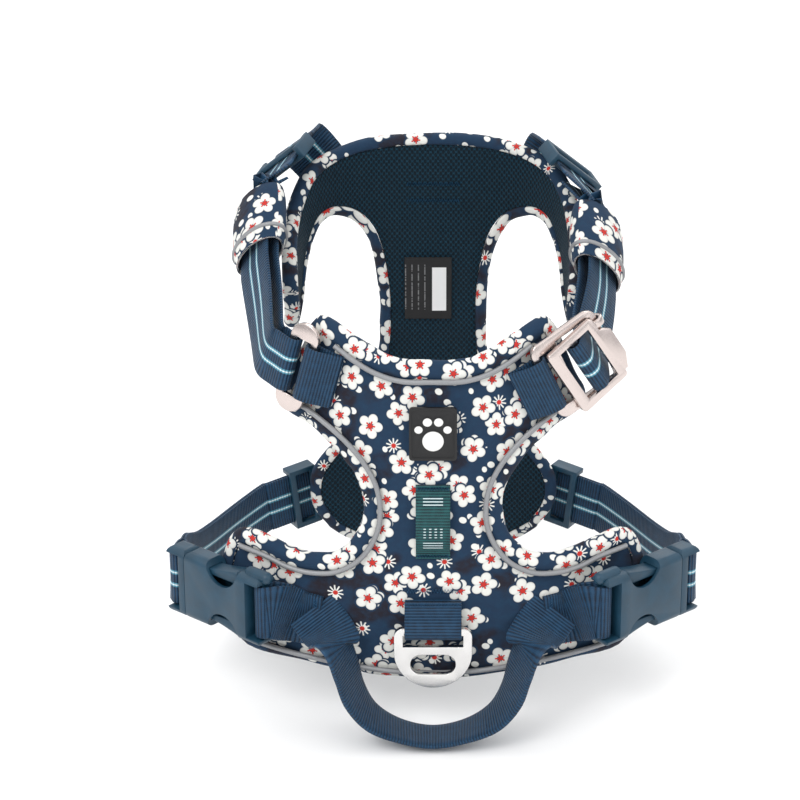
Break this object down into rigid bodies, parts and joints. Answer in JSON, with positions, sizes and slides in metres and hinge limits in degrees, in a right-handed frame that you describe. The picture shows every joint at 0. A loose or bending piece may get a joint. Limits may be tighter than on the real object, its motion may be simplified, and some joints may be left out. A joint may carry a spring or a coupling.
{
  "type": "no pull dog harness",
  "caption": "Soft padded no pull dog harness with back and chest panels, shoulder and belly straps, side release buckles, a metal neck buckle, a leash plate, a front ring and a lift handle.",
  "frame": {"origin": "centre of the girth ring, on the line of the dog's trunk, level with the middle of the side buckles' webbing", "axes": "+Z along the trunk towards the dog's head, +X across the dog to the side with the neck buckle, +Y from the back panel to the chest panel"},
  "size_m": [0.2396, 0.1757, 0.2413],
  "materials": {
    "floral_cotton": "navy and petrol blue cotton canvas printed with small white blossoms and red star centres",
    "foam": "sealed soft foam padding",
    "air_mesh": "dark petrol air mesh with small round holes",
    "webbing": "woven petrol blue nylon webbing with ribs across its width",
    "striped_webbing": "woven petrol blue webbing with two pale reflective stripes along it",
    "piping": "light grey reflective piping",
    "leash_metal": "pale satin painted cast metal",
    "satin_metal": "satin nickel plated cast metal with a warm tint",
    "slate_plastic": "matte slate blue moulded plastic",
    "rubber_badge": "soft black moulded rubber",
    "label": "black woven label with a blank pale field"
  },
  "bodies": {
    "harness": {"back_cover": "floral_cotton", "back_padding": "foam", "back_lining": "air_mesh", "back_edge_binding": "floral_cotton", "back_piping": "piping", "badge_patch": "rubber_badge", "light_loop": "webbing", "leash_tab": "webbing", "side_webbing_left": "webbing", "side_webbing_right": "webbing", "shoulder_tab_left": "webbing", "shoulder_tab_right": "webbing", "neck_buckle_receiver": "satin_metal", "chest_cover": "floral_cotton", "chest_padding": "foam", "chest_lining": "air_mesh", "chest_edge_binding": "floral_cotton", "care_label": "label", "front_leash_tab": "webbing", "shoulder_strap_left": "striped_webbing", "shoulder_strap_right": "striped_webbing", "shoulder_strap_under_left": "webbing", "shoulder_strap_under_right": "webbing", "belly_strap_left": "striped_webbing", "belly_strap_right": "striped_webbing", "buckle_socket_left": "slate_plastic", "buckle_socket_right": "slate_plastic"},
    "leash_plate": {"leash_plate": "leash_metal"},
    "lift_handle": {"handle_strap": "webbing"},
    "front_ring": {"front_leash_ring": "satin_metal"},
    "shoulder_ring": {"shoulder_ring": "satin_metal", "shoulder_ring_strap_loop": "striped_webbing"},
    "neck_hook": {"neck_buckle_hook_frame": "satin_metal", "neck_buckle_strap_loop": "striped_webbing"},
    "plug_left": {"buckle_plug_left": "slate_plastic", "belly_strap_loop_left": "striped_webbing"},
    "plug_right": {"buckle_plug_right": "slate_plastic", "belly_strap_loop_right": "striped_webbing"},
    "prong_upper_left": {"plug_prong_upper_left": "slate_plastic"},
    "prong_lower_left": {"plug_prong_lower_left": "slate_plastic"},
    "prong_upper_right": {"plug_prong_upper_right": "slate_plastic"},
    "prong_lower_right": {"plug_prong_lower_right": "slate_plastic"},
    "sleeve_left": {"strap_sleeve_left": "floral_cotton"},
    "sleeve_right": {"strap_sleeve_right": "floral_cotton"},
    "shoulder_slider_left": {"shoulder_slider_left": "slate_plastic"},
    "shoulder_slider_right": {"shoulder_slider_right": "slate_plastic"},
    "belly_slider_left": {"belly_slider_left": "slate_plastic"},
    "belly_slider_right": {"belly_slider_right": "slate_plastic"}
  },
  "joints": [
    {"name": "leash_plate_swing", "type": "hinge", "parent": "harness", "child": "leash_plate", "pos_m": [0, -0.07645, 0.00161], "axis": [-1, 0, 0], "range_deg": [0, 150]},
    {"name": "handle_swing", "type": "hinge", "parent": "harness", "child": "lift_handle", "pos_m": [0, -0.0805, -0.001], "axis": [-1, 0, 0], "range_deg": [0, 150]},
    {"name": "front_ring_swing", "type": "hinge", "parent": "harness", "child": "front_ring", "pos_m": [0, 0.07605, 0.141], "axis": [1, 0, 0], "range_deg": [0, 150]},
    {"name": "shoulder_ring_tilt", "type": "hinge", "parent": "harness", "child": "shoulder_ring", "pos_m": [-0.05366, -0.05733, 0.11636], "axis": [0.2549, -0.078, 0.9638], "range_deg": [0, 16]},
    {"name": "neck_hook_swing", "type": "hinge", "parent": "harness", "child": "neck_hook", "pos_m": [0.0738, -0.04666, 0.12556], "axis": [-0.4061, -0.1343, 0.9039], "range_deg": [0, 50]},
    {"name": "buckle_release_left", "type": "slide", "parent": "harness", "child": "plug_left", "axis": [-0.756, 0.6546, 0], "range_m": [0, 0.03]},
    {"name": "buckle_release_right", "type": "slide", "parent": "harness", "child": "plug_right", "axis": [0.756, 0.6546, 0], "range_m": [0, 0.03]},
    {"name": "prong_flex_upper_left", "type": "hinge", "parent": "plug_left", "child": "prong_upper_left", "pos_m": [-0.10876, -0.0394, 0.0195], "axis": [0.6546, 0.756, 0], "range_deg": [0, 12]},
    {"name": "prong_flex_lower_left", "type": "hinge", "parent": "plug_left", "child": "prong_lower_left", "pos_m": [-0.10876, -0.0394, -0.0029], "axis": [0.6546, 0.756, 0], "range_deg": [-12, 0]},
    {"name": "prong_flex_upper_right", "type": "hinge", "parent": "plug_right", "child": "prong_upper_right", "pos_m": [0.10876, -0.0394, 0.0195], "axis": [0.6546, -0.756, 0], "range_deg": [0, 12]},
    {"name": "prong_flex_lower_right", "type": "hinge", "parent": "plug_right", "child": "prong_lower_right", "pos_m": [0.10876, -0.0394, -0.0029], "axis": [0.6546, -0.756, 0], "range_deg": [-12, 0]},
    {"name": "sleeve_slide_left", "type": "slide", "parent": "harness", "child": "sleeve_left", "axis": [-0.0301, 0.8332, 0.5521], "range_m": [-0.005, 0]},
    {"name": "sleeve_slide_right", "type": "slide", "parent": "harness", "child": "sleeve_right", "axis": [0.0301, 0.8332, 0.5521], "range_m": [-0.005, 0]},
    {"name": "shoulder_adjust_left", "type": "slide", "parent": "harness", "child": "shoulder_slider_left", "axis": [0.3204, 0.9213, 0.2203], "range_m": [-0.0005, 0.002]},
    {"name": "shoulder_adjust_right", "type": "slide", "parent": "harness", "child": "shoulder_slider_right", "axis": [-0.3204, 0.9213, 0.2203], "range_m": [-0.0005, 0.002]},
    {"name": "belly_adjust_left", "type": "slide", "parent": "harness", "child": "belly_slider_left", "axis": [-0.8572, -0.4984, -0.1296], "range_m": [-0.002, 0.01]},
    {"name": "belly_adjust_right", "type": "slide", "parent": "harness", "child": "belly_slider_right", "axis": [0.8572, -0.4984, -0.1296], "range_m": [-0.002, 0.01]}
  ],
  "couplings": [
    {"joint": "prong_flex_upper_left", "follows": "buckle_release_left", "rad_per_m": 5.6},
    {"joint": "prong_flex_lower_left", "follows": "buckle_release_left", "rad_per_m": -5.6},
    {"joint": "prong_flex_upper_right", "follows": "buckle_release_right", "rad_per_m": 5.6},
    {"joint": "prong_flex_lower_right", "follows": "buckle_release_right", "rad_per_m": -5.6}
  ]
}
